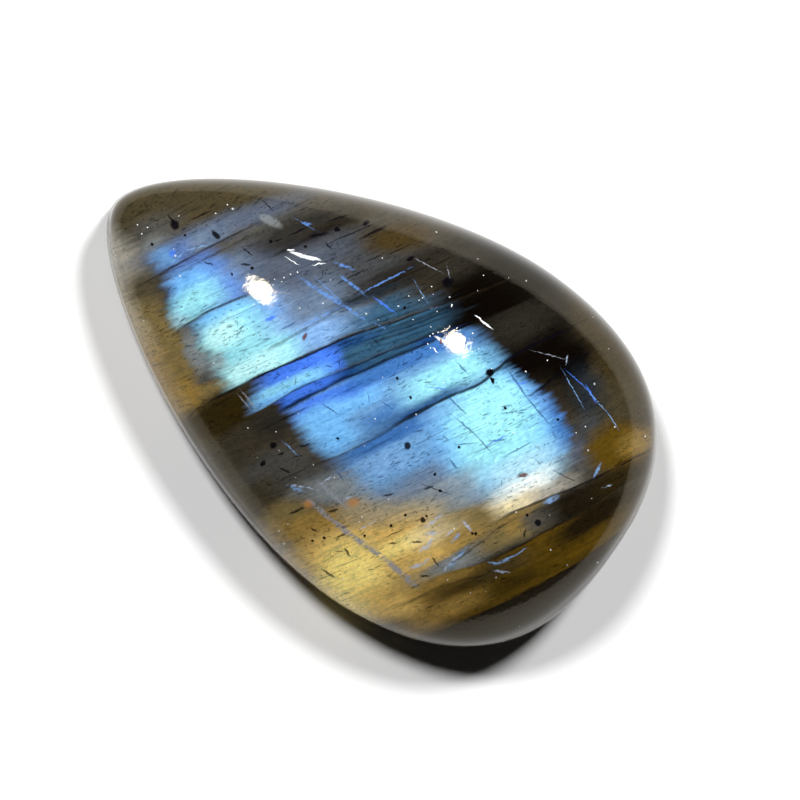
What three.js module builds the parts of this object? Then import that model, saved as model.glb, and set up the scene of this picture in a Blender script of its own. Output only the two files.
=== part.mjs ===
// Pear-shaped labradorite cabochon: one polished stone with a domed top, an upright side and a flat back.
// Millimetres, +Z up. The origin is on the flat back, at the middle of the stone's length and width.
// +X runs from the pointed end to the round end, and +Z from the back to the top of the dome.
import * as THREE from "three";

// Outline, seen from above
const length = 27.6; // from the pointed end to the round end
const width = 17.8; // across the widest place
const widestX = 4.3; // where the outline is widest, from the middle of the length
const tipBluntness = 2.9; // how broadly the pointed end is rounded
const tipShoulder = 7.2; // how far the full width is held towards the pointed end
const roundShoulder = 10.1; // how far the full width is held towards the round end
const roundFlatness = 1.4; // how far the round end stays straight across

// Heights
const sideHeight = 3.2; // from the back to where the slopes of the dome would meet the side
const domeHeight = 4.8; // from that height to the top of the dome

// The edge between the flat back and the side is ground round
const backEdgeHeight = 0.9;
const backEdgeWidth = 0.7;

// The edge between the side and the dome is polished round
const shoulderDepth = 0.9;
const shoulderWidth = 0.8;

// The highest place of the dome, from the middle of the length
const crestX = 4.0;

// How upright the dome is where it meets the side: 1 is an open parabola, 2 a quarter round
const uprightAtTip = 1;
const uprightAtRoundEnd = 2.4;
const uprightAtLeft = 1.5; // towards +Y
const uprightAtRight = 1; // towards -Y

// Fineness of the facets
const facetsRound = 108;
const facetsUpBackEdge = 3;
const facetsUpShoulder = 4;
const facetsUpDome = 16;
const outlineSamples = 400; // for reading the half width at any place along the stone

const tipX = -length / 2;
const roundX = length / 2;
const halfWidth = width / 2;
const quarterTurn = Math.PI / 2;

// The outline is four curves, the same on both sides of the long axis.
function pearOutline() {
  const outline = new THREE.Shape();
  outline.moveTo(roundX, 0);
  outline.bezierCurveTo(roundX, roundFlatness, widestX + roundShoulder, halfWidth, widestX, halfWidth);
  outline.bezierCurveTo(widestX - tipShoulder, halfWidth, tipX, tipBluntness, tipX, 0);
  outline.bezierCurveTo(tipX, -tipBluntness, widestX - tipShoulder, -halfWidth, widestX, -halfWidth);
  outline.bezierCurveTo(widestX + roundShoulder, -halfWidth, roundX, -roundFlatness, roundX, 0);
  return outline;
}

const outline = pearOutline();
const sideSamples = outline.getSpacedPoints(outlineSamples).slice(0, outlineSamples / 2 + 1);

// Half the width of the stone at x, read between two samples of one side.
function halfWidthAt(x) {
  const next = sideSamples.findIndex((point) => point.x < x);
  if (next < 1) {
    return 0;
  }
  const before = sideSamples[next - 1];
  const after = sideSamples[next];
  const share = (before.x - x) / (before.x - after.x);
  return before.y + share * (after.y - before.y);
}

// 1 at the crest and 0 at the edge, for a place that lies the given share of the way out.
function fall(share, upright) {
  return (1 - Math.min(share, 1) ** 2) ** (1 / upright);
}

// Height of the dome above the back, before its edge is rounded.
function domeTopAt(point) {
  const along = point.x < crestX
    ? fall((crestX - point.x) / (crestX - tipX), uprightAtTip)
    : fall((point.x - crestX) / (roundX - crestX), uprightAtRoundEnd);
  const upright = point.y > 0 ? uprightAtLeft : uprightAtRight;
  const across = fall(Math.abs(point.y) / halfWidthAt(point.x), upright);
  return sideHeight + domeHeight * along * across;
}

// The outline moved inwards by the same distance all round.
function insetOutline(edge, distance) {
  return edge.map((point, i) => {
    const before = edge.at(i - 1);
    const after = edge[(i + 1) % edge.length];
    const along = after.clone().sub(before).normalize();
    return new THREE.Vector2(point.x - along.y * distance, point.y + along.x * distance);
  });
}

// The outline drawn in towards the crest.
function shrunkOutline(edge, scale) {
  const crest = new THREE.Vector2(crestX, 0);
  return edge.map((point) => crest.clone().lerp(point, scale));
}

function atHeight(points, height) {
  return points.map((point) => [point.x, point.y, height(point)]);
}

// Rings of points from the flat back up to the last ring below the top of the dome.
function ringsOfStone() {
  const edge = outline.getSpacedPoints(facetsRound).slice(0, facetsRound);
  const rings = [];

  // Edge of the back: a quarter ellipse that ends upright
  for (let step = 0; step <= facetsUpBackEdge; step += 1) {
    const turn = (step / facetsUpBackEdge) * quarterTurn;
    const inset = backEdgeWidth * (1 - Math.sin(turn));
    const height = backEdgeHeight * (1 - Math.cos(turn));
    rings.push(atHeight(insetOutline(edge, inset), () => height));
  }

  // Shoulder: starts upright at the side and runs smoothly into the slope of the dome
  for (let step = 0; step <= facetsUpShoulder; step += 1) {
    const turn = (step / facetsUpShoulder) * quarterTurn;
    const inset = shoulderWidth * (1 - Math.cos(turn) ** (2 / 3));
    const drop = shoulderDepth * (1 - Math.sin(turn));
    rings.push(atHeight(insetOutline(edge, inset), (point) => domeTopAt(point) - drop));
  }

  // Dome, with rings closer together where it steepens towards the side
  const shoulderEnd = insetOutline(edge, shoulderWidth);
  for (let step = facetsUpDome - 1; step > 0; step -= 1) {
    const scale = Math.sin((step / facetsUpDome) * quarterTurn);
    rings.push(atHeight(shrunkOutline(shoulderEnd, scale), domeTopAt));
  }
  return rings;
}

function cabochonGeometry() {
  const rings = ringsOfStone();
  const positions = rings.flat(2);
  const backCentre = rings.length * facetsRound;
  const domeTop = backCentre + 1;
  positions.push(crestX, 0, 0);
  positions.push(crestX, 0, sideHeight + domeHeight);

  const faces = [];
  for (let ring = 0; ring < rings.length - 1; ring += 1) {
    for (let i = 0; i < facetsRound; i += 1) {
      const next = (i + 1) % facetsRound;
      const low = ring * facetsRound;
      const high = low + facetsRound;
      faces.push(low + i, low + next, high + next);
      faces.push(low + i, high + next, high + i);
    }
  }
  const lastRing = (rings.length - 1) * facetsRound;
  for (let i = 0; i < facetsRound; i += 1) {
    const next = (i + 1) % facetsRound;
    faces.push(backCentre, next, i);
    faces.push(domeTop, lastRing + i, lastRing + next);
  }

  const geometry = new THREE.BufferGeometry();
  geometry.setAttribute("position", new THREE.Float32BufferAttribute(positions, 3));
  geometry.setIndex(faces);
  geometry.computeVertexNormals();
  return geometry;
}

function polishedLabradorite() {
  return new THREE.MeshStandardMaterial({
    color: 0x6d7f8f,
    roughness: 0.08,
    metalness: 0,
  });
}

const cabochon = new THREE.Mesh(cabochonGeometry(), polishedLabradorite());
cabochon.name = "labradorite_cabochon";

const group = new THREE.Group();
group.add(cabochon);

export default group;
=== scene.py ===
import math

import bpy
import numpy as np
from mathutils import Matrix, Quaternion, Vector


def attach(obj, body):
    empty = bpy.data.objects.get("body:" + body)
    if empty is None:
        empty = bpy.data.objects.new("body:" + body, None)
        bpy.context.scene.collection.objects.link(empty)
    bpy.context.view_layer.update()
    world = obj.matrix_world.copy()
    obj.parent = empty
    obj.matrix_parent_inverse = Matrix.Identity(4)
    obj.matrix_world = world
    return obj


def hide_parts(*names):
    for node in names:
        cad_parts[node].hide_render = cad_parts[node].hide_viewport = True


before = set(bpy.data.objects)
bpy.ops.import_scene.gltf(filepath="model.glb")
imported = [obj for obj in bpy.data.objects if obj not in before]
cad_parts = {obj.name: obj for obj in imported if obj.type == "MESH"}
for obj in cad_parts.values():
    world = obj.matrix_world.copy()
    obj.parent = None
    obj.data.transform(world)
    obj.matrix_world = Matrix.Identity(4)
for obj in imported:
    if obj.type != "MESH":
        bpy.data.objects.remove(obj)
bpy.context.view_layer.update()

MM = 0.001
NODE = "labradorite_cabochon"

# Form of the stone, in millimetres, as the solid has it
TIP_X, ROUND_X, HALF_WIDTH, WIDEST_X = -13.8, 13.8, 8.9, 4.3
TIP_BLUNTNESS, TIP_SHOULDER = 2.9, 7.2
ROUND_FLATNESS, ROUND_SHOULDER = 1.4, 10.1
SIDE_HEIGHT, DOME_HEIGHT, CREST_X = 3.2, 4.8, 4.0
BACK_EDGE_HEIGHT, BACK_EDGE_WIDTH = 0.9, 0.7
SHOULDER_DEPTH, SHOULDER_WIDTH = 0.9, 0.8
UPRIGHT_TIP, UPRIGHT_ROUND, UPRIGHT_LEFT, UPRIGHT_RIGHT = 1.0, 2.4, 1.5, 1.0

# Fineness of the stone's mesh
FACETS_ROUND, FACETS_BACK, FACETS_BACK_EDGE = 480, 12, 10
FACETS_SIDE, FACETS_SHOULDER, FACETS_DOME = 6, 16, 110

# The photograph's view: scale at the stone's side, and the stone's origin in its 800 pixel frame
FRAME_PIXELS = 800
PIXELS_PER_MM = 22.0
ORIGIN_PIXEL = (361.6, 379.7)
IMAGE_RIGHT = Vector((0.816, 0.578, 0.0))
TOWARDS_CAMERA = Vector((-0.095, -0.055, 0.994)).normalized()
CAMERA_DISTANCE = 0.5
VIEWED_HEIGHT = 1.6

# Two shaded lamps: each gives soft light and a shadow, and its bright bulb shows in the polish as a glint
LAMP_DISTANCE = 1.2
LAMP_DIAMETER = 0.25
FLOOR_LIGHT = 0.59
LAMPS = {"lamp_left": Vector((-0.511, 0.208, 0.834)), "lamp_right": Vector((-0.002, 0.635, 0.772))}
GLINTS = {
    "glint_left": {
        "place": Vector((-6.4, 0.4, 6.3)),
        "towards": Vector((-0.509, 0.13, 0.851)),
        "size": (0.245, 0.07),
        "turn": math.radians(17.0),
    },
    "glint_right": {
        "place": Vector((2.0, 3.4, 7.5)),
        "towards": Vector((-0.033, 0.617, 0.787)),
        "size": (0.06, 0.193),
        "turn": 0.0,
    },
}
GLINT_BRIGHTNESS = 90.0
FLOOR_COLOUR = 0.82
FLOOR_REACH = 0.3
ROOM_COLOUR = (0.005, 0.005, 0.005, 1)
BELOW_HORIZON_COLOUR = (1.0, 1.0, 1.0, 1)  # past the edge of the floor
HORIZON_COLOUR = (0.9, 0.9, 0.9, 1)
WALL_COLOUR = (0.08, 0.08, 0.08, 1)
HORIZON_BAND, WALL_BAND, DARK_BAND = 0.03, 0.05, 0.3  # sines of the elevation where each is reached


# Mesh of the stone

def bezier(p0, p1, p2, p3, count):
    t = np.linspace(0.0, 1.0, count)[:, None]
    return ((1 - t) ** 3 * np.array(p0) + 3 * (1 - t) ** 2 * t * np.array(p1)
            + 3 * (1 - t) * t ** 2 * np.array(p2) + t ** 3 * np.array(p3))


def half_outline(count=3000):
    """One side of the pear, from the round end to the pointed end."""
    round_part = bezier((ROUND_X, 0), (ROUND_X, ROUND_FLATNESS), (WIDEST_X + ROUND_SHOULDER, HALF_WIDTH),
                        (WIDEST_X, HALF_WIDTH), count)
    tip_part = bezier((WIDEST_X, HALF_WIDTH), (WIDEST_X - TIP_SHOULDER, HALF_WIDTH), (TIP_X, TIP_BLUNTNESS),
                      (TIP_X, 0), count)
    return np.vstack([round_part, tip_part[1:]])


def spaced_outline(count):
    """Points at even distances round the whole outline, with the inward direction at each."""
    side = half_outline()
    loop = np.vstack([side, side[-2::-1] * (1, -1)])
    length = np.r_[0.0, np.cumsum(np.hypot(*np.diff(loop, axis=0).T))]
    places = np.linspace(0.0, length[-1], count, endpoint=False)
    points = np.column_stack([np.interp(places, length, loop[:, k]) for k in range(2)])
    along = np.roll(points, -1, axis=0) - np.roll(points, 1, axis=0)
    along /= np.linalg.norm(along, axis=1)[:, None]
    return points, np.column_stack([-along[:, 1], along[:, 0]])


SIDE = half_outline()[::-1]


def half_width_at(x):
    return np.interp(x, SIDE[:, 0], SIDE[:, 1])


def fall(share, upright):
    return np.maximum(1 - np.minimum(share, 1) ** 2, 0) ** (1 / upright)


def dome_top(points):
    x, y = points[:, 0], points[:, 1]
    towards_tip = fall((CREST_X - x) / (CREST_X - TIP_X), UPRIGHT_TIP)
    towards_round = fall((x - CREST_X) / (ROUND_X - CREST_X), UPRIGHT_ROUND)
    along = np.where(x < CREST_X, towards_tip, towards_round)
    share = np.abs(y) / np.maximum(half_width_at(x), 1e-9)
    across = np.where(y > 0, fall(share, UPRIGHT_LEFT), fall(share, UPRIGHT_RIGHT))
    return SIDE_HEIGHT + DOME_HEIGHT * along * across


def stone_rings():
    edge, inward = spaced_outline(FACETS_ROUND)
    crest = np.array((CREST_X, 0.0))
    rings = []

    def add(points, height):
        rings.append(np.column_stack([points, np.broadcast_to(height, len(points))]))

    back_edge = edge + inward * BACK_EDGE_WIDTH
    for scale in np.linspace(0.05, 1.0, FACETS_BACK, endpoint=False):
        add(crest + (back_edge - crest) * scale, 0.0)
    for turn in np.linspace(0, math.pi / 2, FACETS_BACK_EDGE + 1):
        add(edge + inward * BACK_EDGE_WIDTH * (1 - math.sin(turn)), BACK_EDGE_HEIGHT * (1 - math.cos(turn)))
    for height in np.linspace(BACK_EDGE_HEIGHT, SIDE_HEIGHT - SHOULDER_DEPTH, FACETS_SIDE + 1)[1:-1]:
        add(edge, height)
    for turn in np.linspace(0, math.pi / 2, FACETS_SHOULDER + 1):
        points = edge + inward * SHOULDER_WIDTH * (1 - max(math.cos(turn), 0.0) ** (2 / 3))
        add(points, dome_top(points) - SHOULDER_DEPTH * (1 - math.sin(turn)))
    shoulder_end = edge + inward * SHOULDER_WIDTH
    for step in range(FACETS_DOME - 1, 0, -1):
        points = crest + (shoulder_end - crest) * math.sin(step / FACETS_DOME * math.pi / 2)
        add(points, dome_top(points))
    return rings


def make_stone():
    rings = stone_rings()
    count = FACETS_ROUND
    verts = np.vstack(rings + [[(CREST_X, 0, 0)], [(CREST_X, 0, SIDE_HEIGHT + DOME_HEIGHT)]])
    i = np.arange(count)
    j = (i + 1) % count
    faces = []
    for ring in range(len(rings) - 1):
        low, high = ring * count, (ring + 1) * count
        faces += np.column_stack([low + i, low + j, high + j, high + i]).tolist()
    last, back, top = (len(rings) - 1) * count, len(verts) - 2, len(verts) - 1
    faces += [(back, int(b), int(a)) for a, b in zip(i, j)]
    faces += [(top, last + int(a), last + int(b)) for a, b in zip(i, j)]
    mesh = bpy.data.meshes.new("polished_stone")
    mesh.from_pydata((verts * MM).tolist(), [], faces)
    mesh.shade_smooth()
    mesh.update()
    stone = bpy.data.objects.new("polished_stone", mesh)
    bpy.context.scene.collection.objects.link(stone)
    return stone


# Colours of the stone, as they look on a screen

def screen_colour(red, green, blue):
    """The linear colour of a screen colour given from 0 to 255."""
    def linear(level):
        share = level / 255
        return share / 12.92 if share <= 0.04045 else ((share + 0.055) / 1.055) ** 2.4
    return linear(red), linear(green), linear(blue), 1.0


COLOURS = {name: screen_colour(*levels) for name, levels in {
    "black_brown": (8, 5, 3),
    "umber": (24, 18, 9),
    "dark_grey": (38, 36, 32),
    "dark_olive": (46, 36, 12),
    "smoky_brown": (58, 52, 41),
    "warm_grey": (72, 71, 67),
    "olive": (60, 53, 36),
    "olive_gold": (56, 44, 20),
    "slate": (56, 58, 60),
    "storm": (26, 36, 44),
    "lilac_grey": (76, 85, 101),
    "blue_grey": (98, 116, 140),
    "silver_grey": (128, 135, 136),
    "beige": (158, 144, 112),
    "dull_gold": (124, 107, 66),
    "rust_gold": (82, 62, 12),
    "brown_gold": (146, 118, 60),
    # The gold and the brightest gold are painted glow: lamp light that passes through the stone
    "gold": (206, 172, 98),
    "painted_glow_gold": (255, 231, 138),
    "cream": (214, 200, 160),
    "navy": (24, 60, 110),
    "marine": (55, 103, 165),
    "teal": (44, 80, 106),
    "steel": (100, 148, 194),
    "deep_blue": (66, 116, 222),
    "dusk_blue": (76, 102, 156),
    "cornflower": (92, 136, 204),
    "sky": (110, 176, 232),
    "periwinkle": (122, 162, 210),
    "cyan": (142, 210, 222),
    "pale_cyan": (184, 236, 238),
    "ice": (164, 205, 220),
    # Used only for painted glints and sparkles: small reflections of the lamps
    "painted_glint_white": (240, 244, 246),
    "silver_blue": (138, 142, 152),
    "rust_brown_and_painted_fringe": (92, 48, 44),
    "ink": (8, 7, 12),
    "needle": (26, 22, 18),
    "orange": (176, 124, 70),
    "milky": (172, 186, 212),
    "soot": (42, 39, 33),
    "stone_grey": (158, 154, 142),
    "pearl": (228, 232, 226),
}.items()}

# Marks are placed in steps of 1/22 mm: first along the lamellae, towards the round end, then across them.
# The lamellae lean a little from upright, so a mark's place also shifts with the height of the surface.
STEPS_PER_METRE = 22.0 / MM
ALONG = Vector((0.4955, 0.8686, 0.0))
ACROSS = Vector((0.8686, -0.4955, 0.0))
LEAN = Vector((0.0956, 0.0553, 0.0))
LEAN_LEVEL = 1.6 * MM
ALONG_RANGE = (-220.0, 280.0)
ACROSS_RANGE = (-300.0, 300.0)
OFF_THE_STONE = 1000.0

# Unevenness, in steps: how far the whole pattern wanders, and the outlines of the small marks
PATTERN_WANDER, MARK_WANDER = 3.0, 3.0

# Half the width, in steps, over which one lamella gives way to the next
SEAM_FADE = 1.2

# Heights in millimetres: where the surface begins to turn into the duller rim or back, and where it has
RIM_START, RIM_END = 5.6, 2.4
BACK_START, BACK_END = 0.9, 0.1

# Dark lines where two lamellae meet: the places that each passes through
LINES = {
    "tip": [(-175, -178), (-150, -179), (-125, -180.5), (-100, -182), (-50, -184), (0, -184), (40, -179)],
    "upper": [
        (-150, -122), (-125, -124.5), (-100, -126), (-60, -124.5), (0, -125), (60, -127), (130, -130),
    ],
    "faint": [(-75, -66), (-25, -69), (0, -71), (25, -74), (60, -75.5), (140, -72)],
    "main": [
        (-175, -38), (-165, -42), (-150, -43.5), (-125, -45), (-75, -45.5), (-40, -44.5), (0, -43.5),
        (60, -37), (200, -27),
    ],
    "blue_top": [(-110, -15), (-75, -17), (-50, -18), (0, -15), (60, -12), (100, -8), (160, -2)],
    "blue_bottom": [(-120, -4), (-80, -5), (-40, -6), (-20, -7), (0, -6), (50, -5), (90, -3)],
    "middle": [
        (-120, 57), (-75, 57), (-30, 59), (0, 57), (25, 54), (50, 53), (75, 53), (108, 53), (130, 47),
        (150, 43), (210, 41),
    ],
    "right": [(140, 87), (150, 85), (180, 78), (215, 72)],
    "lower": [(-40, 196), (0, 196), (40, 190), (60, 185), (110, 184), (160, 187), (230, 186)],
    "fold": [(-60, 208), (0, 210), (30, 216), (60, 217), (100, 214), (150, 213), (190, 206)],
    "bottom": [(-60, 262), (0, 262), (100, 259), (160, 250), (220, 240)],
}


# Expressions made of nodes

class Value:
    """A number that nodes work out at each point of the surface, for use in ordinary arithmetic."""

    def __init__(self, painter, socket):
        self.painter = painter
        self.socket = socket

    def __add__(self, other):
        return self.painter.arithmetic("ADD", self, other)

    def __sub__(self, other):
        return self.painter.arithmetic("SUBTRACT", self, other)

    def __mul__(self, other):
        return self.painter.arithmetic("MULTIPLY", self, other)


class Painter:
    """Paints a pattern in layers. Each layer is a colour spread by a mask from 0 to 1.

    The nodes are made in the order in which they are worked out, which keeps the material small to render.
    """

    def __init__(self, tree, colour=None, along=None, across=None):
        self.tree = tree
        self.colour = colour
        if along:
            self.set_place(Value(self, along), Value(self, across))

    def node(self, kind, inputs=None, **settings):
        node = self.tree.nodes.new("ShaderNode" + kind)
        for name, setting in settings.items():
            setattr(node, name, setting)
        for key, value in (inputs or {}).items():
            self.plug(node.inputs[key], value)
        return node

    def plug(self, socket, value):
        if isinstance(value, Value):
            value = value.socket
        if isinstance(value, bpy.types.NodeSocket):
            self.tree.links.new(value, socket)
        else:
            socket.default_value = value

    def arithmetic(self, operation, *terms):
        node = self.node("Math", dict(enumerate(terms)), operation=operation)
        return Value(self, node.outputs[0])

    def vector(self, operation, *terms):
        return self.node("VectorMath", dict(enumerate(terms)), operation=operation).outputs["Vector"]

    def smooth(self, value, start, end, strength=1.0):
        """Rises softly from 0 to the strength as the value goes from start to end."""
        inputs = {"Value": value, "From Min": start, "From Max": end, "To Max": strength}
        node = self.node("MapRange", inputs, interpolation_type="SMOOTHSTEP", clamp=False)
        return Value(self, node.outputs["Result"])

    def both(self, first, second):
        return first * second if first else second

    def greatest(self, masks):
        """The greatest of masks that are made one at a time."""
        result = None
        for mask in masks:
            result = self.arithmetic("MAXIMUM", result, mask) if result else mask
        return result

    # Places on the stone

    def set_place(self, along, across):
        self.along = along
        self.across = across
        self.place = self.node("CombineXYZ", {0: along, 1: across, 2: 1.0}).outputs[0]

    def find_place(self):
        """Works out where each point lies along and across the lamellae."""
        point = self.node("TexCoord").outputs["Object"]
        height = Value(self, self.node("SeparateXYZ", {0: point}).outputs["Z"])
        self.low = self.smooth(height, RIM_START * MM, RIM_END * MM)
        self.back = self.smooth(height, BACK_START * MM, BACK_END * MM)
        self.on_side = self.arithmetic("LESS_THAN", height, SIDE_HEIGHT * MM)
        rise = height - LEAN_LEVEL
        shift = self.node("VectorMath", {0: tuple(LEAN), "Scale": rise}, operation="SCALE").outputs[0]
        level = self.node("VectorMath", {0: point, 1: shift}, operation="ADD").outputs[0]
        self.set_place(self.dot(level, ALONG * STEPS_PER_METRE), self.dot(level, ACROSS * STEPS_PER_METRE))

    def roughen(self, along_reach, across_reach):
        """Gives the edges of patches the grain of the lamellae, without moving the lines."""
        grain = self.noise((70, 4, 40), detail=3.0, seed=5.0) - 0.5
        swell = self.noise((26, 13, 40), detail=2.0, seed=9.0) - 0.5
        along = self.along + grain * along_reach + swell * along_reach
        across = self.across + swell * across_reach
        self.place = self.node("CombineXYZ", {0: along, 1: across, 2: 1.0}).outputs[0]

    def ruffle(self, reach):
        """Gives small marks uneven outlines."""
        along, across = [self.noise((4, 4, 6), seed=seed) - 0.5 for seed in (21.0, 27.0)]
        self.set_place(self.along + along * reach, self.across + across * reach)

    def dot(self, vector, direction):
        node = self.node("VectorMath", {0: vector, 1: tuple(direction)}, operation="DOT_PRODUCT")
        return Value(self, node.outputs["Value"])

    def grain_space(self, size, seed):
        """The point in the stone, measured along, across and down in cells of the given size in steps."""
        return self.node("Mapping", {
            "Vector": self.node("TexCoord").outputs["Object"],
            "Location": (seed * MM, seed * 3 * MM, 0.0),
            "Rotation": (0.0, 0.0, math.atan2(ALONG.y, ALONG.x)),
            "Scale": tuple(side / STEPS_PER_METRE for side in size),
        }, vector_type="TEXTURE").outputs[0]

    def noise(self, size, detail=2.0, seed=0.0, rough=0.5):
        """Cloudy noise, mean 0.5, with the given size along, across and down."""
        point = self.grain_space(size, seed)
        inputs = {"Vector": point, "Scale": 1.0, "Detail": detail, "Roughness": rough}
        return Value(self, self.node("TexNoise", inputs).outputs["Fac"])

    # Masks

    def patch(self, centre, radii, turn=0.0, soft=0.5, strength=1.0, squarer=False):
        """An oval or a rounded block round a centre. The softness of its edge is a share of its radius."""
        cos, sin = math.cos(math.radians(turn)), math.sin(math.radians(turn))
        distance = None
        for (x, y), radius in zip(((cos, sin), (-sin, cos)), radii):
            offset = -(x * centre[0] + y * centre[1]) / radius
            share = self.dot(self.place, (x / radius, y / radius, offset))
            share = share * share if squarer else share
            distance = self.arithmetic("MULTIPLY_ADD", share, share, distance or 0.0)
        distance = self.arithmetic("SQRT", distance)
        if squarer:
            distance = self.arithmetic("SQRT", distance)
        return self.smooth(distance, 1 + soft, 1 - soft, strength)

    def stroke(self, start, end, width, soft=0.4, strength=1.0):
        """A thin mark with tapered ends from one place to another."""
        run = (end[0] - start[0], end[1] - start[1])
        centre = ((start[0] + end[0]) / 2, (start[1] + end[1]) / 2)
        radii = (math.hypot(*run) / 2 + width / 2, width / 2)
        return self.patch(centre, radii, math.degrees(math.atan2(run[1], run[0])), soft, strength)

    def dot_mark(self, centre, radius):
        """A round mark."""
        node = self.node("VectorMath", {0: self.place, 1: (*centre, 1.0)}, operation="DISTANCE")
        return self.smooth(node.outputs["Value"], radius * 1.4, radius * 0.6)

    def scatter(self, cells, length, width, turn, share, strength, seed):
        """Small ovals scattered through the stone, one in the given share of the cells."""
        point = self.grain_space(cells, seed)
        voronoi = self.node("TexVoronoi", {"Vector": point, "Scale": 1.0}).outputs
        offset = self.vector("MULTIPLY", self.vector("SUBTRACT", point, voronoi["Position"]), cells)
        levels = self.node("SeparateColor", {0: voronoi["Color"]}).outputs
        chance = [Value(self, level) for level in levels]
        angle = self.arithmetic("MULTIPLY_ADD", chance[0] - 0.5, math.radians(turn), 0.0)
        turned = self.node("VectorRotate", {"Vector": offset, "Angle": angle}, rotation_type="Z_AXIS")
        size = self.arithmetic("ADD", chance[1], 0.5)
        local = self.vector("MULTIPLY", turned.outputs[0], (2 / length, 2 / width, 0.0))
        distance = Value(self, self.node("VectorMath", {0: local}, operation="LENGTH").outputs["Value"])
        mask = self.smooth(self.arithmetic("DIVIDE", distance, size), 1.4, 0.5, strength)
        return mask * self.arithmetic("LESS_THAN", chance[2], share)

    def line_place(self, places):
        """Where a line lies across the lamellae, at each place along them."""
        (low, high), (first, last) = ALONG_RANGE, ACROSS_RANGE
        share = self.arithmetic("MULTIPLY_ADD", self.along, 1 / (high - low), -low / (high - low))
        node = self.node("FloatCurve", {"Value": share})
        curve = node.mapping.curves[0]
        ends = [(low, places[0][1]), *places, (high, places[-1][1])]
        points = [
            ((along - low) / (high - low), (across - first) / (last - first))
            for along, across in ends
        ]
        curve.points[0].location = points[0]
        curve.points[-1].location = points[-1]
        for point in points[1:-1]:
            curve.points.new(*point)
        node.mapping.update()
        return self.arithmetic("MULTIPLY_ADD", Value(self, node.outputs[0]), last - first, first)

    def window(self, start, end, fade):
        """1 between two places along the lamellae, fading at both ends."""
        rise = self.smooth(self.along, start - fade, start + fade)
        return rise * self.smooth(self.along, end + fade, end - fade)

    def beyond(self, first, last, fade, side):
        """1 past a straight edge through two places, towards the round end. With side -1, 1 before it."""
        run = (last[0] - first[0], last[1] - first[1])
        length = math.hypot(*run)
        across = (run[1] / length, -run[0] / length)
        offset = -(across[0] * first[0] + across[1] * first[1])
        return self.smooth(self.dot(self.place, (*across, offset)), -fade * side, fade * side)

    # Layers

    def cover(self, colour, mask):
        node = self.node("Mix", data_type="RGBA")
        for key, value in ((0, mask), (6, self.colour), (7, COLOURS[colour])):
            self.plug(node.inputs[key], value)
        self.colour = node.outputs[2]

    def brighten(self, *factors):
        tint = self.node("CombineColor", dict(enumerate(factors))).outputs[0]
        node = self.node("Mix", data_type="RGBA", blend_type="MULTIPLY")
        for key, value in ((0, 1.0), (6, self.colour), (7, tint)):
            self.plug(node.inputs[key], value)
        self.colour = node.outputs[2]


def paint_section(outer, name, painting, *details):
    """Paints one section of the pattern over what the outer painter has, in a node group of its own."""
    tree = bpy.data.node_groups.new(name, "ShaderNodeTree")
    inputs = {"Colour": outer.colour, "Along": outer.along, "Across": outer.across}
    for title in inputs:
        kind = "NodeSocketColor" if title == "Colour" else "NodeSocketFloat"
        tree.interface.new_socket(title, in_out="INPUT", socket_type=kind)
    tree.interface.new_socket("Colour", in_out="OUTPUT", socket_type="NodeSocketColor")
    start = tree.nodes.new("NodeGroupInput").outputs
    inner = Painter(tree, start["Colour"], start["Along"], start["Across"])
    painting(inner, *details)
    inner.plug(tree.nodes.new("NodeGroupOutput").inputs["Colour"], inner.colour)
    outer.colour = outer.node("Group", inputs, node_tree=tree).outputs["Colour"]


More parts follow.
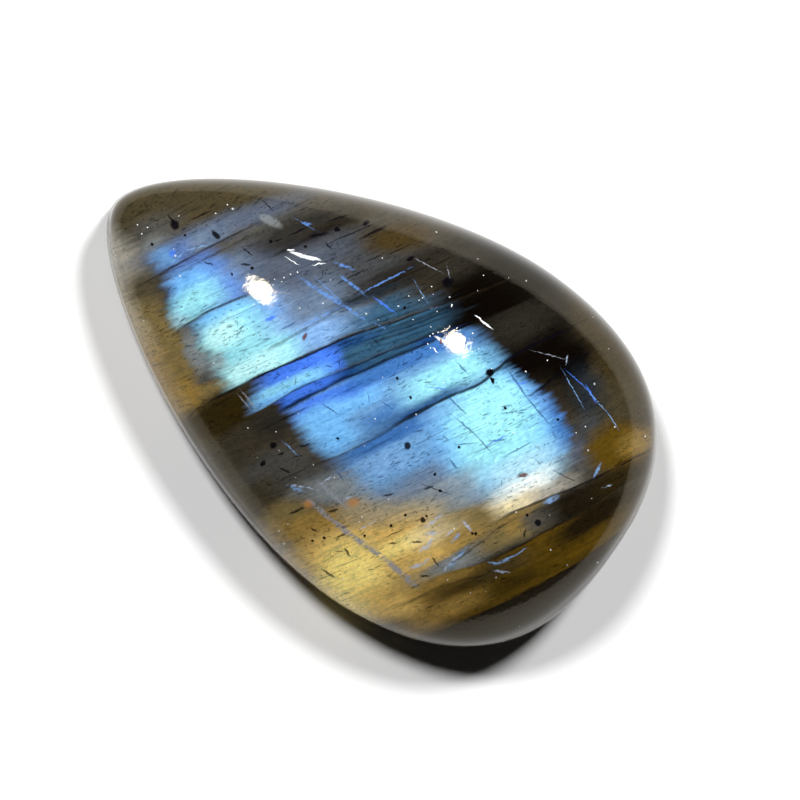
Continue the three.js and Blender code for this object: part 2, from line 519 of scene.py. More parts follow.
# The pattern. Each zone: colour, centre, half length and half width, turn in degrees, softness, strength
BODY_ZONES = [
    # Towards the pointed end
    ("olive", (-70, -240), (130, 42), 0, 0.4, 1.0),
    ("warm_grey", (-128, -220), (28, 14), 0, 0.8, 0.95),
    ("silver_grey", (-134, -206), (16, 9), 0, 0.8, 0.6),
    ("stone_grey", (-172, -206), (18, 34), -10, 0.8, 1.0),
    ("lilac_grey", (-68, -194), (82, 13), 3, 0.6, 0.95),
    ("warm_grey", (-60, -170), (92, 14), 0, 0.6, 0.95),
    ("lilac_grey", (-72, -146), (60, 22), 0, 0.6, 0.95),
    ("dark_grey", (12, -158), (54, 17), 6, 0.5, 0.95),
    ("umber", (28, -148), (40, 6), 0, 0.8, 0.7),
    # Grey middle of the upper lamellae
    ("slate", (36, -126), (60, 15), 0, 0.5, 0.9),
    ("lilac_grey", (-4, -112), (52, 26), 0, 0.7, 0.95),
    ("slate", (52, -98), (62, 26), 0, 0.6, 0.9),
    ("olive_gold", (92, -113), (34, 16), 18, 0.6, 0.95),
    # Dark right side
    ("umber", (104, -74), (60, 14), 6, 0.6, 0.9),
    ("black_brown", (160, 0), (72, 92), 0, 0.35, 1.0),
    ("soot", (164, 16), (44, 18), 0, 0.8, 0.7),
    ("soot", (126, -68), (34, 16), 10, 0.7, 0.8),
    ("dark_olive", (238, 60), (20, 80), 0, 0.6, 0.9),
    ("black_brown", (196, 70), (28, 22), 0, 0.5, 1.0),
    ("black_brown", (184, 104), (24, 20), 0, 0.8, 0.5),
    ("storm", (200, 112), (16, 26), 0, 0.8, 0.8),
    ("slate", (184, 140), (18, 14), 0, 0.8, 0.9),
    ("olive", (224, 132), (20, 20), 0, 0.8, 0.9),
    # Left side: a dull gold strip, then smoky brown down to the gold
    ("dull_gold", (-164, -100), (20, 76), -2, 0.5, 0.95),
    ("beige", (-186, -150), (14, 50), -6, 0.6, 0.9),
    ("brown_gold", (-184, -84), (14, 44), 0, 0.6, 0.9),
    ("olive", (-158, -176), (16, 14), 0, 0.8, 0.8),
    ("silver_grey", (-139, -92), (9, 24), 0, 0.7, 0.9),
    ("warm_grey", (-136, -68), (14, 8), 0, 0.8, 0.8),
    ("silver_grey", (-121, -72), (12, 9), 0, 0.8, 0.9),
    ("dull_gold", (-148, -54), (24, 8), 0, 0.6, 0.9),
    ("brown_gold", (-166, -60), (16, 18), 0, 0.6, 1.0),
    ("dark_olive", (-142, -26), (46, 20), 0, 0.4, 1.0),
    ("smoky_brown", (-132, 14), (50, 20), 0, 0.5, 1.0),
    ("dark_grey", (-98, 2), (20, 16), 0, 0.7, 0.9),
    ("warm_grey", (-114, 42), (40, 16), 0, 0.6, 0.9),
    ("olive", (-140, 62), (34, 14), 0, 0.6, 0.8),
    ("warm_grey", (-96, 64), (26, 12), 0, 0.7, 0.9),
    # Grey and gold below the flash; the gold zones are painted glow of lamp light through the stone
    ("blue_grey", (-8, 104), (64, 34), 8, 0.6, 1.0),
    ("silver_grey", (-74, 84), (32, 12), 10, 0.8, 0.8),
    ("silver_grey", (-50, 102), (26, 12), 10, 0.8, 0.8),
    ("dull_gold", (-124, 94), (26, 16), 10, 0.6, 1.0),
    ("stone_grey", (-150, 142), (18, 40), -14, 0.8, 0.9),
    ("brown_gold", (-100, 112), (44, 14), 8, 0.6, 1.0),
    ("beige", (-56, 118), (22, 10), 8, 0.8, 0.8),
    ("silver_grey", (6, 128), (40, 14), 4, 0.8, 0.9),
    ("gold", (-80, 146), (60, 22), 10, 0.5, 1.0),
    ("beige", (-36, 128), (30, 10), 10, 0.8, 0.8),
    ("beige", (-8, 142), (28, 9), 6, 0.8, 0.8),
    ("silver_grey", (42, 146), (42, 14), 0, 0.8, 0.9),
    ("blue_grey", (44, 140), (22, 8), 0, 0.8, 0.6),
    ("gold", (-44, 178), (74, 34), -4, 0.5, 1.0),
    ("painted_glow_gold", (-94, 176), (32, 36), 20, 0.6, 1.0),
    ("painted_glow_gold", (-34, 166), (26, 8), 0, 0.8, 0.8),
    ("painted_glow_gold", (-76, 204), (22, 14), 20, 0.7, 0.9),
    ("cream", (8, 168), (26, 11), 0, 0.8, 0.8),
    ("dull_gold", (46, 164), (38, 12), 0, 0.8, 0.8),
    ("silver_grey", (44, 152), (30, 6), 0, 0.8, 0.7),
    ("gold", (8, 186), (34, 8), 0, 0.8, 0.7),
    ("brown_gold", (30, 186), (26, 10), 0, 0.8, 0.7),
    ("dull_gold", (80, 182), (44, 8), 0, 0.7, 0.9),
    ("cream", (92, 168), (26, 12), 0, 0.6, 1.0),
    ("painted_glow_gold", (87, 173), (9, 6), 0, 0.7, 0.9),
    ("silver_grey", (118, 166), (30, 14), 0, 0.7, 1.0),
    ("warm_grey", (150, 170), (22, 16), 0, 0.7, 0.9),
    ("lilac_grey", (160, 154), (12, 12), 0, 0.8, 0.7),
    ("rust_gold", (202, 168), (28, 24), 0, 0.4, 0.95),
    ("brown_gold", (224, 174), (16, 12), 0, 0.8, 0.6),
    # Round end, below the dark boundary; the gold oval here is painted glow of light through the stone
    ("gold", (-66, 206), (30, 14), 16, 0.7, 0.9),
    ("brown_gold", (-30, 210), (30, 12), 6, 0.7, 0.8),
    ("beige", (-14, 204), (30, 8), 0, 0.8, 0.7),
]

# What lies between the lines: the lines above and below, the slanted edges where the flash starts and ends
# (two places on each edge, and how softly it fades), and the zones
# The blue and cyan zones are the flash: the lamps' light reflected from the lamellae, painted as fixed
# colour
LAMELLAE = [
    (None, "tip", ((-136, -208), (-141, -178), 16), None, [
        ("blue_grey", (-104, -192), (36, 10), 0, 0.7, 0.8),
        ("dusk_blue", (-122, -190), (22, 11), 0, 0.6, 0.85),
        ("steel", (-132, -193), (13, 9), 0, 0.7, 0.8),
    ]),
    ("tip", "upper", ((-130, -178), (-146, -124), 13), None, [
        ("dusk_blue", (-110, -168), (30, 18), 0, 0.4, 0.95),
        ("blue_grey", (-76, -148), (22, 16), 0, 0.8, 0.7),
        ("cornflower", (-106, -152), (28, 17), 0, 0.6, 0.95),
        ("cornflower", (-92, -136), (26, 13), 0, 0.6, 0.8),
        ("sky", (-118, -152), (20, 18), 8, 0.7, 0.95),
        ("cyan", (-119, -140), (26, 13), -4, 0.7, 1.0),
        ("ice", (-142, -131), (8, 9), 0, 0.8, 0.8),
    ]),
    ("upper", "main", ((-128, -120), (-123, -50), 12), None, [
        ("blue_grey", (-16, -84), (34, 22), 4, 0.7, 0.9),
        ("steel", (-8, -56), (40, 9), 2, 0.6, 0.85),
        ("teal", (44, -56), (32, 7), 0, 0.7, 0.8),
        ("storm", (40, -72), (34, 5), 2, 0.8, 0.8),
        ("blue_grey", (8, -59), (26, 9), 0, 0.8, 0.6),
        ("teal", (56, -46), (34, 6), 6, 0.8, 0.9),
        ("periwinkle", (-66, -90), (26, 26), 0, 0.7, 0.95),
        ("periwinkle", (-38, -60), (38, 14), 0, 0.5, 0.95),
        ("cornflower", (-62, -104), (18, 10), 0, 0.6, 0.8),
        ("sky", (-104, -112), (36, 13), 0, 0.3, 1.0),
        ("cyan", (-102, -90), (38, 24), 0, 0.6, 1.0),
        ("cyan", (-86, -60), (44, 15), 0, 0.4, 1.0),
        ("pale_cyan", (-109, -100), (20, 11), 0, 0.8, 0.95),
        ("pale_cyan", (-96, -56), (34, 10), 0, 0.8, 0.95),
        ("silver_grey", (-129, -78), (13, 9), 12, 0.5, 0.95),
    ]),
    ("main", "blue_top", ((-88, -46), (-108, -20), 12), None, [
        ("black_brown", (130, -20), (70, 30), 0, 0.4, 1.0),
        ("soot", (112, -42), (30, 9), 0, 0.8, 0.8),
        ("teal", (30, -28), (60, 14), 4, 0.4, 0.95),
        ("storm", (80, -24), (30, 10), 4, 0.6, 0.8),
        ("teal", (66, -22), (32, 6), 5, 0.8, 0.9),
        ("navy", (0, -42), (38, 8), 3, 0.6, 0.95),
        ("teal", (60, -38), (40, 5), 5, 0.6, 0.9),
        ("steel", (-104, -26), (22, 14), 0, 0.5, 0.9),
        ("deep_blue", (-56, -36), (42, 12), 2, 0.4, 1.0),
        ("deep_blue", (-24, -28), (14, 10), 0, 0.5, 0.9),
        ("sky", (-66, -24), (38, 8), 1, 0.5, 1.0),
        ("cyan", (-72, -26), (28, 4), 0, 0.8, 0.6),
    ]),
    ("blue_top", "blue_bottom", ((-86, -20), (-84, -6), 7), None, [
        ("black_brown", (120, -8), (50, 16), 0, 0.4, 1.0),
        ("navy", (0, -12), (100, 10), 0, 0.3, 1.0),
        ("deep_blue", (-56, -13), (34, 6), 0, 0.5, 0.85),
        ("teal", (34, -11), (28, 5), 0, 0.6, 0.9),
    ]),
    ("blue_bottom", "middle", ((-76, 0), (-63, 52), 12), ((114, -4), (135, 46), 15), [
        ("steel", (20, 25), (130, 34), 0, 0.1, 0.95),
        ("deep_blue", (-40, 5), (50, 10), 0, 0.4, 0.95),
        ("marine", (46, 0), (66, 10), 0, 0.4, 0.95),
        ("sky", (-58, 30), (30, 24), 0, 0.4, 1.0),
        ("sky", (-14, 18), (28, 8), 0, 0.6, 0.85),
        ("marine", (8, 40), (26, 7), -4, 0.7, 0.7),
        ("cyan", (84, 34), (48, 14), 0, 0.5, 0.95),
        ("navy", (40, 52), (50, 7), -3, 0.8, 0.9),
        ("marine", (124, 20), (12, 32), -24, 0.8, 0.6),
    ]),
    ("middle", "lower", ((-58, 56), (-30, 118), 16), ((128, 42), (163, 104), 12), [
        ("steel", (4, 86), (76, 26), 0, 0.5, 1.0),
        ("marine", (0, 63), (56, 8), -2, 0.6, 0.95),
        ("periwinkle", (-20, 85), (30, 12), 0, 0.8, 0.5),
        ("blue_grey", (20, 116), (40, 12), 0, 0.7, 0.7),
        ("marine", (112, 102), (54, 52), 0, 0.1, 0.95),
        ("sky", (98, 100), (52, 54), 6, 0.4, 1.0),
        ("cyan", (101, 96), (42, 46), 8, 0.5, 1.0),
        ("silver_grey", (48, 138), (18, 14), 0, 0.8, 0.7),
        ("steel", (60, 62), (18, 7), 0, 0.8, 0.7),
        ("cornflower", (150, 76), (9, 28), -14, 0.8, 0.7),
        ("ice", (108, 150), (34, 16), 0, 0.7, 0.9),
        ("pearl", (106, 165), (24, 9), 0, 0.8, 0.85),
        ("cream", (94, 179), (22, 8), 0, 0.8, 0.9),
        ("stone_grey", (126, 180), (22, 7), 0, 0.8, 0.8),
    ]),
    ("lower", "fold", None, None, [
        ("warm_grey", (30, 202), (46, 10), 0, 0.6, 0.8),
        ("silver_grey", (12, 204), (24, 8), 0, 0.8, 0.9),
        ("dull_gold", (68, 201), (34, 9), 0, 0.6, 0.9),
        ("brown_gold", (86, 194), (20, 7), 0, 0.8, 0.9),
        ("warm_grey", (104, 199), (18, 10), 0, 0.6, 0.9),
        ("umber", (160, 202), (48, 14), 0, 0.4, 0.95),
        ("dark_olive", (190, 198), (24, 9), 0, 0.8, 0.6),
    ]),
    ("fold", "bottom", None, None, [
        ("rust_gold", (66, 238), (118, 30), 0, 0.3, 0.95),
        ("brown_gold", (-42, 226), (36, 14), 14, 0.6, 0.9),
        # The gold oval is painted glow of lamp light that passes through the stone
        ("gold", (-66, 217), (22, 12), 16, 0.7, 1.0),
        ("brown_gold", (-4, 219), (28, 7), 4, 0.8, 0.9),
        ("dark_olive", (6, 228), (40, 8), 0, 0.7, 0.8),
        ("brown_gold", (-24, 245), (40, 9), 0, 0.7, 0.8),
        ("dark_olive", (56, 246), (26, 7), 0, 0.8, 0.7),
        ("olive", (50, 228), (26, 7), 0, 0.8, 0.6),
        ("umber", (150, 222), (44, 12), -12, 0.5, 0.95),
        ("rust_gold", (122, 243), (30, 8), 0, 0.8, 0.7),
    ]),
    ("bottom", None, None, None, [
        ("umber", (60, 275), (150, 20), 0, 0.2, 0.8),
    ]),
]

# Each line: name, how far below its middle, half width, colour, where it starts and ends, fade, strength
DRAWN_LINES = [
    ("tip", 0, 0.9, "umber", -165, -30, 22, 0.75),
    ("tip", 8.5, 0.6, "needle", -125, -20, 12, 0.5),
    ("upper", 0, 0.9, "umber", -148, -60, 8, 0.75),
    ("upper", -3.5, 0.5, "needle", -135, -98, 6, 0.6),
    ("upper", 0, 0.6, "needle", -20, 110, 20, 0.4),
    ("upper", -23, 1.3, "needle", -28, 34, 10, 0.7),
    ("faint", 0, 1.6, "dark_grey", -75, 20, 14, 0.5),
    ("faint", 0, 0.9, "umber", 20, 140, 10, 0.7),
    ("main", 0, 1.5, "ink", -135, -24, 26, 0.85),
    ("main", 0, 1.2, "ink", -20, 70, 20, 0.5),
    ("main", 0, 0.8, "umber", -176, 190, 12, 0.8),
    ("main", 6.5, 0.6, "umber", -150, -90, 8, 0.6),
    ("main", 4, 1.0, "ink", -15, 120, 12, 0.5),
    ("main", 8.5, 0.8, "ink", 10, 110, 12, 0.6),
    ("main", 13, 1.4, "storm", 20, 130, 12, 0.7),
    ("main", 18, 0.7, "ink", -20, 90, 12, 0.4),
    ("main", -4, 0.8, "storm", 10, 120, 12, 0.6),
    ("main", -9, 0.8, "umber", 30, 130, 12, 0.5),
    ("blue_top", 0, 1.0, "ink", -85, 90, 12, 0.6),
    ("blue_bottom", -1, 2.4, "ink", -84, 80, 8, 0.75),
    ("blue_bottom", 7.5, 0.8, "ink", -110, -60, 8, 0.7),
    ("middle", 0, 2.0, "ink", 0, 215, 30, 0.9),
    ("middle", 0, 0.9, "needle", -120, 0, 10, 0.5),
    ("middle", 8, 1.2, "ink", -34, 12, 12, 0.4),
    ("right", 0, 1.4, "ink", 148, 215, 10, 0.9),
    ("lower", 0, 1.4, "ink", 70, 230, 20, 0.85),
    ("lower", 7, 0.7, "needle", 0, 150, 14, 0.5),
    ("fold", 0, 1.2, "umber", 36, 160, 14, 0.8),
    ("fold", 12, 1.6, "umber", -60, 36, 16, 0.4),
    ("bottom", 0, 1.6, "umber", -60, 190, 20, 0.8),
]


def paint_body(paint):
    paint.roughen(14.0, 7.0)
    for colour, centre, radii, turn, soft, strength in BODY_ZONES:
        paint.cover(colour, paint.patch(centre, radii, turn, soft, strength))


def paint_lamellae(paint):
    places = {name: paint.line_place(points) for name, points in LINES.items()}
    paint.roughen(15.0, 7.0)
    for above, below, start, end, zones in LAMELLAE:
        inside = None
        for line, side in ((above, 1.0), (below, -1.0)):
            if line:
                distance = paint.across - places[line]
                past_line = paint.smooth(distance, -SEAM_FADE * side, SEAM_FADE * side)
                inside = paint.both(inside, past_line)
        for edge, side in ((start, 1.0), (end, -1.0)):
            if edge:
                inside = paint.both(inside, paint.beyond(*edge, side))
        for colour, centre, radii, turn, soft, strength in zones:
            paint.cover(colour, paint.patch(centre, radii, turn, soft, strength, squarer=True) * inside)


def paint_lines(paint):
    places = {name: paint.line_place(points) for name, points in LINES.items()}
    uneven = paint.noise((26, 3, 20), detail=3.0, seed=14.0, rough=0.6)
    thick = paint.smooth(uneven, 0.25, 0.7, 1.8)
    for name, shift, half_width, colour, start, end, fade, strength in DRAWN_LINES:
        distance = paint.arithmetic("ABSOLUTE", paint.across - places[name] - shift) + thick
        mask = paint.smooth(distance, half_width + 2.0, half_width * 0.5 + 0.3, strength)
        mask = mask * paint.window(start, end, fade)
        paint.cover(colour, mask)


# Marks drawn one by one: colour, softness of the edges, strength, and strokes as start, end and width
STROKES = [
    ("ink", 0.4, 0.85, [
        ((-106, -229), (-104, -220), 2.2), ((-87, -215.5), (-66, -215.5), 1.3),
        ((-60, -154), (-53, -150), 2.0), ((-52, -168), (-47, -158), 1.5), ((-92, -171), (-87, -166), 1.8),
        ((-15, -204), (-9, -189), 1.2), ((-5, -160), (15, -160), 1.6), ((-20, -160.5), (-13, -160), 1.4),
        ((38, -156), (58, -154), 1.8), ((14, -150), (30, -146), 3.2), ((25, -138), (27, -131), 1.8),
        ((28, -136), (80, -135), 1.2), ((60, -127), (88, -128), 2.6), ((53, -104), (70, -103), 1.1),
        ((75, -101), (100, -101), 1.1), ((18, -96), (50, -97), 1.3), ((86, -79), (96, -79), 1.8),
        ((104, -80), (115, -79), 1.3), ((30, -88), (33, -83), 2.0), ((-88, 132), (-77, 132), 2.2),
        ((-85.5, 146), (-84.5, 153), 2.4), ((-115, 156), (-108, 166), 2.4), ((-43, 159), (-37, 162), 1.8),
        ((-21, 168), (-14, 171), 2.2), ((-28, 202), (-22, 205), 2.0), ((-42, 209), (-34, 209), 1.6),
        ((-10, 190), (-8, 200), 1.5), ((12, 125), (20, 126), 2.2), ((81, 210), (86, 204), 1.8),
        ((-120, 91), (-106, 91), 2.6), ((-110, 46), (-104, 53), 2.4), ((-82, 35), (-74, 36), 2.2),
        ((-106, 33), (-101, 33), 2.0), ((-24, 152), (-44, 152), 1.0), ((135, 162), (151, 182), 1.0),
        ((12, 120), (32, 140), 0.9), ((-28, 114), (-19, 116), 2.2), ((-84, 105), (-76, 107), 2.4),
        ((-108, 113), (-104, 118), 1.8),
    ]),
    ("navy", 0.5, 0.7, [
        ((94, 26), (98, 38), 2.0), ((70, 49), (80, 74), 1.6), ((69, 74), (81, 100), 1.8),
        ((81, 100), (87, 120), 1.2), ((137, 56), (142, 86), 2.2), ((142, 86), (151, 118), 1.6),
        ((101, 129), (126, 128), 1.4), ((90, 109), (104, 114), 2.4), ((130, 95), (137, 96), 1.8),
        ((47, 110), (49, 119), 2.4), ((-52, -78), (-36, -79), 1.3), ((-96, -90), (-84, -98), 1.0),
        ((0, 15), (-2, 24), 1.0), ((-45, 6), (-36, 20), 1.6), ((112, 90), (128, 94), 1.2),
        ((10, 30), (16, 40), 1.2), ((57, 98), (75, 104), 1.4), ((-60, 74), (-58, 82), 1.3),
        ((-20, 4), (-2, 4), 1.2),
    ]),
    ("deep_blue", 0.5, 0.7, [
        ((-59, -93), (-51, -93), 3.2), ((139, 70), (148, 72), 1.5), ((84, 112), (110, 111), 1.5),
        ((201, 102), (203, 118), 2.0), ((190, 80), (200, 103), 1.0), ((47, -66), (57, -48), 2.4),
        ((56, 34), (72, 44), 1.6),
    ]),
    ("cornflower", 0.6, 0.75, [
        ((-9, -111), (15, -73), 4.0), ((3, -107), (15, -77), 1.3), ((15, -74), (27, -54), 3.2),
        ((27, -114), (37, -104), 3.2), ((26, -99), (37, -78), 3.2), ((37, -43), (42, -36), 1.9),
        ((8, -172), (20, -155), 0.7), ((13, -165), (18, -162), 2.6), ((-44, -72), (12, -74), 1.6),
        ((40, -77.5), (88, -79.5), 1.6), ((70, 60), (86, 62), 1.4), ((126, 60), (130, 78), 1.2),
    ]),
    ("periwinkle", 0.6, 0.75, [
        ((-122, -185), (-105, -190), 1.7), ((-105, -190), (-84, -186), 1.7), ((186, 80), (189, 116), 0.9),
        ((200, 104), (209, 134), 1.0), ((209, 134), (212, 152), 1.0), ((89, -66), (92, -42), 0.8),
        ((-96, 24), (-89, 41), 1.5), ((-109, 66), (-101, 74), 3.4), ((117, 188), (126, 188), 5.1),
        ((3, 205), (12, 201), 3.8), ((12, 201), (23, 196), 2.9), ((40, 219), (47, 223), 2.2),
        ((47, 223), (66, 223), 2.4), ((66, 223), (78, 221), 1.5), ((16, 183), (23, 180), 3.1),
        ((171, 185), (180, 178), 2.5),
    ]),
    ("silver_blue", 0.55, 0.85, [
        ((-98, 87), (-93, 97), 4.4), ((-95, 93), (-84, 117), 5.0), ((-86, 113), (-72, 140), 5.6),
        ((-74, 137), (-63, 154), 5.6), ((-65, 151), (-51, 177), 5.4), ((-53, 174), (-43, 195), 6.0),
        ((-46, 189), (-38, 206), 6.5), ((-80, 77), (-68, 106), 4.0), ((-113, -40), (-108, -20), 1.8),
        ((-117, -37), (-113, -22), 1.4), ((168, 47), (191, 66), 0.8), ((100, -85), (116, -64), 1.0),
        ((125, -66), (122, -52), 1.0), ((-50, -120), (-30, -108), 2.0),
    ]),
    ("milky", 0.6, 0.75, [
        ((-1, 159), (6, 158), 3.8), ((4, 158), (14, 156), 2.5), ((-4, 167), (3, 169), 3.4),
        ((-17, 179), (-8, 177), 3.9), ((-9, 177), (-3, 173), 2.5), ((-34, 190), (-24, 192), 3.9),
        ((-26, 192), (-16, 190), 3.2), ((33, 171), (36, 180), 2.9), ((3, 203), (14, 200), 3.1),
        ((-106, 66), (-96, 73), 1.9), ((-97, 72), (-86, 81), 1.5), ((-82, 77), (-64, 74), 1.2),
        ((-66, 101), (-59, 101), 1.7), ((-63, 134), (-48, 133), 1.4), ((42, 229), (52, 235), 2.2),
        # The stroke from (93, -35) to (101, -33) is a painted sparkle, a tiny reflection of a lamp
        ((196, 66), (192, 72), 1.2), ((93, -35), (101, -33), 1.5), ((174, 199), (181, 200), 1.5),
        ((-1, 203), (-4, 207), 1.7), ((12, 176), (20, 174), 1.7),
    ]),
    # Painted reflections: the slivers beside the two glints and the sparkles round them
    ("painted_glint_white", 0.35, 0.95, [
        ((-9, -143), (2, -132), 3.2), ((-2, -136), (11, -126), 3.7), ((4, -123), (16, -120), 0.9),
        ((-12, -147), (-7, -145), 1.4), ((-17, -142), (-9, -130), 0.8), ((130, -9), (134, -2), 1.6),
        ((133, -3), (139, 9), 1.9), ((99, 23), (108, 23), 0.8), ((78, 2), (80, 8), 1.0),
        ((86, -6), (91, 2), 3.0),
    ]),
]

# Spots: colour, softness, strength, and ovals as centre, radii and turn
SPOTS = [
    ("ink", 0.3, 0.95, [
        ((-104, -218), (4.6, 5.0), 0), ((-71, -191), (2.7, 5.4), -20), ((-107, 22), (3.8, 3.2), 0),
        ((14, 79), (3.2, 3.8), 20), ((100, 203), (3.2, 3.4), 0), ((-3, 152), (2.6, 2.8), 0),
        ((95, -88), (4.4, 2.2), 0), ((70, -139), (4.0, 2.4), -20), ((-124, 34), (3.2, 2.6), -30),
        ((119, -51), (6.0, 5.0), 0), ((41, -145), (3.2, 2.2), 30),
    ]),
    ("ink", 0.3, 1.0, [((119, 48), (4.2, 3.6), 0), ((118, 56), (2.0, 4.0), 0)]),
    ("rust_brown_and_painted_fringe", 0.4, 0.9, [
        # The oval at (88, -1) is the painted pink fringe of a glint's reflection; the other two are spots
        # in the stone
        ((106, 154), (5.0, 2.2), 20), ((-33, -62), (4.0, 1.5), -35), ((88, -1), (1.4, 3.4), 20),
    ]),
    ("orange", 0.7, 0.8, [((-58, 107), (5.5, 4.0), 10), ((-100, 90), (4.0, 4.0), 0)]),
    ("deep_blue", 0.5, 0.7, [((-118, -193), (3.6, 3.0), 0), ((-57, -93), (4.0, 2.0), 0)]),
    ("silver_grey", 0.4, 0.5, [((-16, -181), (12.0, 4.2), 52)]),
]

# Round dots: colour, radius and centres
DOTS = [
    ("ink", 1.5, [
        (-133, -210), (-99, -204), (-24, -162), (5, -143), (-73, -149), (69, -46), (-100, 127), (39, 187),
        (93, 192), (-52, -146), (-112, 125), (-62, 142), (-17, 140), (36, 185), (27, 116), (25, 133),
        (2, 150), (161, 119), (60, 102), (-34, 144), (33, 14), (37, 37), (-46, 43), (118, 86),
    ]),
    # Painted sparkles: tiny reflections of the lamps in the polish and in fine cracks
    ("painted_glint_white", 0.55, [
        (-138, -224), (-138, -234), (-130, -227), (-48, -214), (-62, -211), (130, -101), (70, -100),
        (-3, -84), (64, -50), (78, -55), (85, -47), (72, -32), (113, -29), (85, -18), (102, -54),
        (154, -42), (-4, 41), (-25, 119), (-61, 127), (-127, 99), (116, 112), (152, 62), (176, 61),
        (-100, 172), (84, 184), (210, 150), (100, 233), (172, 138), (183, 137), (-99, 11), (-123, -4),
        (-40, -122), (-36, -126), (-31, -121), (-27, -124), (-20, -124), (-13, -123), (22, 173), (120, 5),
        (108, -6), (-65, 77), (114, 45), (122, 45), (80, -10), (84, -11), (89, -10), (97, -11),
        (102, -10), (112, 22), (119, 22), (96, 22), (97, -29), (112, -28), (90, -47), (142, -31),
        (75, -4), (76, 1),
    ]),
]


def paint_strokes(paint, colour, soft, strength, strokes):
    mask = paint.greatest(paint.stroke(start, end, width, soft, strength) for start, end, width in strokes)
    if soft > 0.5:
        mask = mask * paint.smooth(paint.noise((7, 2.6, 6), seed=31.0), 0.3, 0.56)
    paint.cover(colour, mask)


def paint_spots(paint):
    for colour, soft, strength, ovals in SPOTS:
        masks = (paint.patch(centre, radii, turn, soft, strength) for centre, radii, turn in ovals)
        paint.cover(colour, paint.greatest(masks))
    for colour, radius, centres in DOTS:
        paint.cover(colour, paint.greatest(paint.dot_mark(centre, radius) for centre in centres))


# Needles and dots that are scattered through the whole stone: the cells that may hold one each, its length
# and width, how far it may turn from along the lamellae in degrees, the share of cells that have one, and
# how dark it is
SCATTERED = [
    {"cells": (11, 5.5, 6), "length": 4.6, "width": 1.1, "turn": 30, "share": 0.5, "strength": 0.5},
    {"cells": (24, 13, 9), "length": 6.0, "width": 1.2, "turn": 40, "share": 0.45, "strength": 0.65},
    {"cells": (24, 22, 9), "length": 5.5, "width": 1.2, "turn": 180, "share": 0.35, "strength": 0.6},
    {"cells": (8, 7, 4), "length": 1.8, "width": 1.4, "turn": 180, "share": 0.5, "strength": 0.5},
    {"cells": (70, 9, 20), "length": 44.0, "width": 0.9, "turn": 6, "share": 0.4, "strength": 0.4},
]
# Painted sparkles, scattered in cells like the dark marks above: tiny reflections of the lamps
PAINTED_SPARKLES = {"cells": (22, 18, 9), "length": 1.6, "width": 1.3, "turn": 180, "share": 0.1, "strength": 0.5}
GRAIN_SWINGS = (1.25, 1.0, 0.75)  # how far the grain changes the red, the green and the blue


def paint_grain(paint):
    """Fine streaks along the lamellae, and mottling that changes the hue a little."""
    streaks = paint.noise((60, 2.2, 30), detail=3.0, seed=1.0, rough=0.6)
    mottle = paint.noise((14, 6, 12), detail=4.0, seed=2.0, rough=0.65)
    fine = paint.noise((5, 2.6, 5), detail=2.0, seed=4.0, rough=0.6)
    level = streaks * 0.6 + mottle * 0.7 + fine * 0.7
    factors = [paint.arithmetic("MULTIPLY_ADD", level, swing, 1.0 - swing) for swing in GRAIN_SWINGS]
    paint.brighten(*factors)


def paint_needles_and_sparkles(paint):
    masks = (paint.scatter(seed=index * 7.0, **kind) for index, kind in enumerate(SCATTERED))
    crowd = paint.smooth(paint.noise((60, 40, 60), seed=60.0), 0.36, 0.6)
    light = paint.arithmetic("SUBTRACT", 1.0, paint.greatest(masks) * (crowd * 0.75 + 0.25))
    paint.brighten(light, light, light)
    # Then painted sparkles: tiny reflections of the lamps, scattered over the stone
    paint.cover("painted_glint_white", paint.scatter(seed=50.0, **PAINTED_SPARKLES))


# The polish: very fine scratches and pits only break up the reflections, and the rim and back are duller
BUMP_DEPTH = 0.004 * MM
TOP_ROUGHNESS, RIM_ROUGHNESS, BACK_ROUGHNESS = 0.04, 0.13, 0.3
REFRACTIVE_INDEX = 1.56
SHINE = 0.3
SHINE_TINT = (1.0, 0.88, 0.62, 1.0)


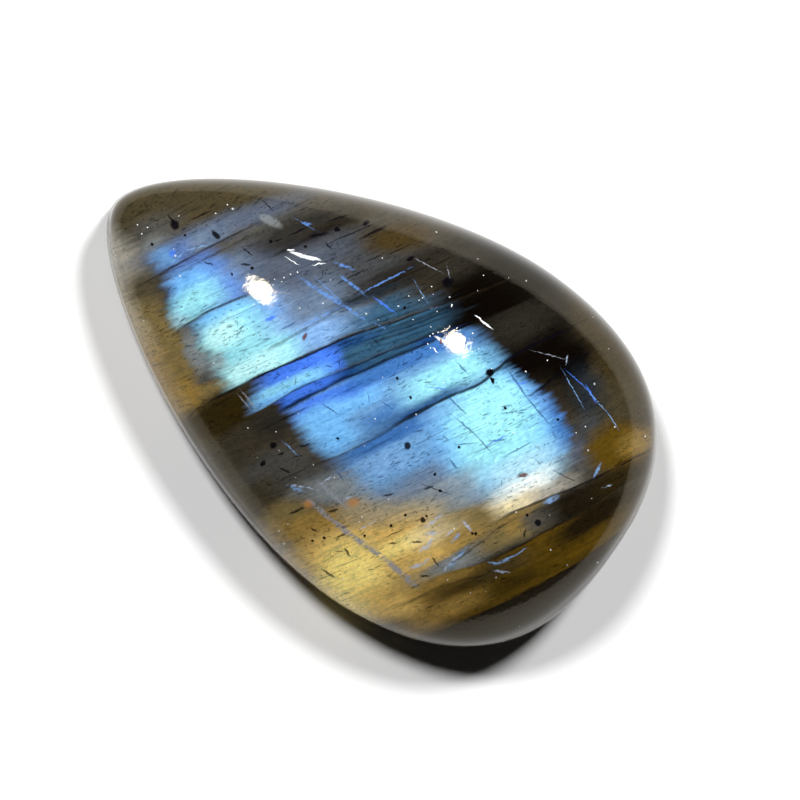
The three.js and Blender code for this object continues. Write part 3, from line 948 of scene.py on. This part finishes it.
def stone_material():
    mat = bpy.data.materials.new("labradorite")
    mat.use_nodes = True
    bsdf = mat.node_tree.nodes["Principled BSDF"]
    paint = Painter(mat.node_tree)
    paint.find_place()
    paint.colour = paint.node("RGB").outputs[0]
    paint.colour.default_value = COLOURS["smoky_brown"]
    along, across = paint.along, paint.across
    wobble = paint.noise((60, 30, 60), seed=3.1)
    middle = across - PATTERN_WANDER / 2
    paint.set_place(along, paint.arithmetic("MULTIPLY_ADD", wobble, PATTERN_WANDER, middle))
    paint_section(paint, "body_zones", paint_body)
    paint_section(paint, "lamella_zones", paint_lamellae)
    paint_section(paint, "lamella_lines", paint_lines)
    paint.cover("smoky_brown", paint.back * 0.8)
    paint_section(paint, "grain", paint_grain)
    # The marks are only on the dome: on the upright side their place is off the stone
    paint.set_place(along, paint.arithmetic("MULTIPLY_ADD", paint.on_side, OFF_THE_STONE, across))
    paint.ruffle(MARK_WANDER)
    for strokes in STROKES:
        paint_section(paint, "strokes_" + strokes[0], paint_strokes, *strokes)
    paint_section(paint, "spots", paint_spots)
    paint_section(paint, "needles_and_painted_sparkles", paint_needles_and_sparkles)
    paint.plug(bsdf.inputs["Base Color"], paint.colour)
    rough = paint.arithmetic("MULTIPLY_ADD", paint.low, RIM_ROUGHNESS, TOP_ROUGHNESS)
    rough = paint.arithmetic("MULTIPLY_ADD", paint.back, BACK_ROUGHNESS, rough)
    paint.plug(bsdf.inputs["Roughness"], rough)
    bumps = paint.noise((7, 5, 7), detail=3.0, seed=90.0, rough=0.6)
    bump = paint.node("Bump", {"Height": bumps, "Strength": 1.0, "Distance": BUMP_DEPTH})
    paint.plug(bsdf.inputs["Normal"], bump.outputs["Normal"])
    bsdf.inputs["IOR"].default_value = REFRACTIVE_INDEX
    bsdf.inputs["Specular IOR Level"].default_value = SHINE
    bsdf.inputs["Specular Tint"].default_value = SHINE_TINT
    return mat


# Floor, light and camera

def make_floor():
    mesh = bpy.data.meshes.new("floor")
    corners = [(x * FLOOR_REACH, y * FLOOR_REACH, 0) for x, y in ((-1, -1), (1, -1), (1, 1), (-1, 1))]
    mesh.from_pydata(corners, [], [(0, 1, 2, 3)])
    floor = bpy.data.objects.new("floor", mesh)
    bpy.context.scene.collection.objects.link(floor)
    mat = bpy.data.materials.new("pale_floor")
    mat.use_nodes = True
    bsdf = mat.node_tree.nodes["Principled BSDF"]
    bsdf.inputs["Base Color"].default_value = (FLOOR_COLOUR, FLOOR_COLOUR, FLOOR_COLOUR, 1)
    bsdf.inputs["Roughness"].default_value = 1.0
    bsdf.inputs["Specular IOR Level"].default_value = 0.0
    mesh.materials.append(mat)
    return floor


def make_lamps():
    for name, direction in LAMPS.items():
        direction = direction.normalized()
        light = bpy.data.lights.new(name, "AREA")
        light.shape = "DISK"
        light.size = LAMP_DIAMETER
        irradiance = FLOOR_LIGHT * math.pi / FLOOR_COLOUR
        light.energy = irradiance * math.pi * LAMP_DISTANCE ** 2 / direction.z
        lamp = bpy.data.objects.new(name, light)
        lamp.location = direction * LAMP_DISTANCE
        lamp.rotation_euler = direction.to_track_quat("Z", "Y").to_euler()
        lamp.visible_glossy = False
        bpy.context.scene.collection.objects.link(lamp)


def make_glints():
    for name, glint in GLINTS.items():
        towards = glint["towards"].normalized()
        light = bpy.data.lights.new(name, "AREA")
        light.shape = "ELLIPSE"
        light.size, light.size_y = glint["size"]
        light.energy = GLINT_BRIGHTNESS * math.pi * math.pi / 4 * light.size * light.size_y
        lamp = bpy.data.objects.new(name, light)
        lamp.location = glint["place"] * MM + towards * LAMP_DISTANCE
        facing = towards.to_track_quat("Z", "Y") @ Quaternion((0, 0, 1), glint["turn"])
        lamp.rotation_euler = facing.to_euler()
        lamp.visible_diffuse = False
        bpy.context.scene.collection.objects.link(lamp)


def make_world():
    """A dark room with a pale band round the horizon, and full brightness below it."""
    world = bpy.data.worlds.new("studio")
    bpy.context.scene.world = world
    world.use_nodes = True
    nodes, links = world.node_tree.nodes, world.node_tree.links
    direction = nodes.new("ShaderNodeTexCoord")
    parts = nodes.new("ShaderNodeSeparateXYZ")
    ramp = nodes.new("ShaderNodeValToRGB")
    stops = ramp.color_ramp.elements
    stops[0].position, stops[0].color = HORIZON_BAND, HORIZON_COLOUR
    stops[1].position, stops[1].color = DARK_BAND, ROOM_COLOUR
    stops.new(WALL_BAND).color = WALL_COLOUR
    stops.new(0.0).color = BELOW_HORIZON_COLOUR
    links.new(direction.outputs["Generated"], parts.inputs["Vector"])
    links.new(parts.outputs["Z"], ramp.inputs["Fac"])
    links.new(ramp.outputs["Color"], nodes["Background"].inputs["Color"])


def make_camera():
    right = (IMAGE_RIGHT - TOWARDS_CAMERA * IMAGE_RIGHT.dot(TOWARDS_CAMERA)).normalized()
    up = TOWARDS_CAMERA.cross(right)
    across = (FRAME_PIXELS / 2 - ORIGIN_PIXEL[0]) / PIXELS_PER_MM
    down = (FRAME_PIXELS / 2 - ORIGIN_PIXEL[1]) / PIXELS_PER_MM
    target = (right * across - up * down) * MM + Vector((0, 0, VIEWED_HEIGHT * MM))
    data = bpy.data.cameras.new("camera")
    data.sensor_width = 36.0
    data.lens = data.sensor_width * CAMERA_DISTANCE / (FRAME_PIXELS / PIXELS_PER_MM * MM)
    camera = bpy.data.objects.new("camera", data)
    turn = Matrix((right, up, TOWARDS_CAMERA)).transposed().to_4x4()
    camera.matrix_world = Matrix.Translation(target + TOWARDS_CAMERA * CAMERA_DISTANCE) @ turn
    bpy.context.scene.collection.objects.link(camera)
    bpy.context.scene.camera = camera


make_camera()
make_floor()
make_lamps()
make_glints()
make_world()
bpy.context.scene.view_settings.view_transform = "Standard"

stone = make_stone()
stone.data.materials.append(stone_material())
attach(stone, "root")
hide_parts(NODE)
